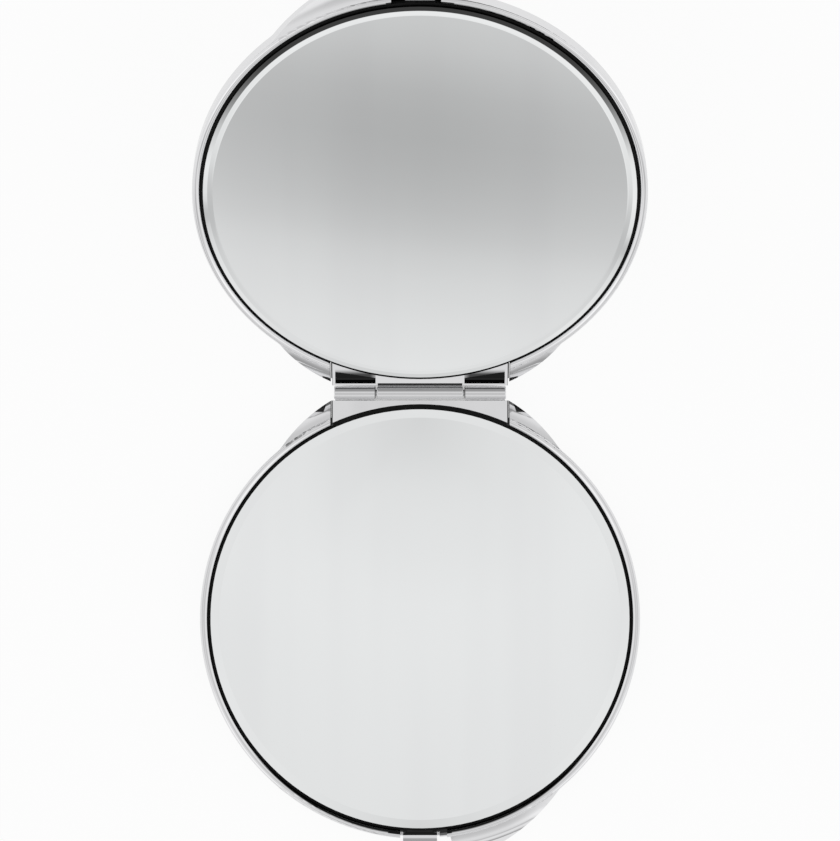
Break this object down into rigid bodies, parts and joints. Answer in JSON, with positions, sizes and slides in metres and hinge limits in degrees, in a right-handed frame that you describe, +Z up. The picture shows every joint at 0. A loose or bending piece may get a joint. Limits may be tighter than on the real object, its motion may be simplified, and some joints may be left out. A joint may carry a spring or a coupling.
{
  "type": "compact mirror",
  "caption": "Round hinged compact: a metal base and lid, each holding a bevelled flat mirror, with finger lips, a pinned knuckle hinge and a push-button catch.",
  "frame": {"origin": "centre of the base's round flat underside, the face that it rests on, with the lid open as in the picture", "axes": "+Z up out of the base's mirror; +Y from the push button towards the hinge and the lid; +X along the hinge pin, to the right seen from the button with the mirrors facing up"},
  "size_m": [0.07, 0.1338, 0.0481],
  "materials": {
    "base_shell": "polished chrome plate",
    "base_tray": "polished chrome plate",
    "lid_shell": "polished chrome plate",
    "lid_tray": "polished chrome plate",
    "push_button": "polished chrome plate",
    "glass": "silvered float glass, bevelled",
    "bead": "black, satin",
    "pad": "black adhesive foam",
    "steel": "bright steel"
  },
  "bodies": {
    "base": {"base_shell": "base_shell", "base_tray": "base_tray", "base_tray_screw_1": "steel", "base_tray_screw_2": "steel", "base_tray_screw_3": "steel", "base_tray_screw_4": "steel", "base_mirror_pad": "pad", "base_mirror": "glass", "base_mirror_bead": "bead", "hinge_pin": "steel", "button_spring": "steel"},
    "button": {"push_button": "push_button"},
    "lid": {"lid_shell": "lid_shell", "lid_tray": "lid_tray", "lid_tray_screw_1": "steel", "lid_tray_screw_2": "steel", "lid_tray_screw_3": "steel", "lid_tray_screw_4": "steel", "lid_mirror_pad": "pad", "lid_mirror": "glass", "lid_mirror_bead": "bead", "lid_catch": "steel"}
  },
  "joints": [
    {"name": "lid_hinge", "type": "hinge", "parent": "base", "child": "lid", "pos_m": [0, 0.036, 0.00575], "axis": [1, 0, 0], "range_deg": [-35, 145]},
    {"name": "button_slide", "type": "slide", "parent": "base", "child": "button", "axis": [0, 1, 0], "range_m": [0, 0.0004], "stiffness_N_per_m": 800, "springref_m": -0.0008, "deforming": ["button_spring"]}
  ]
}
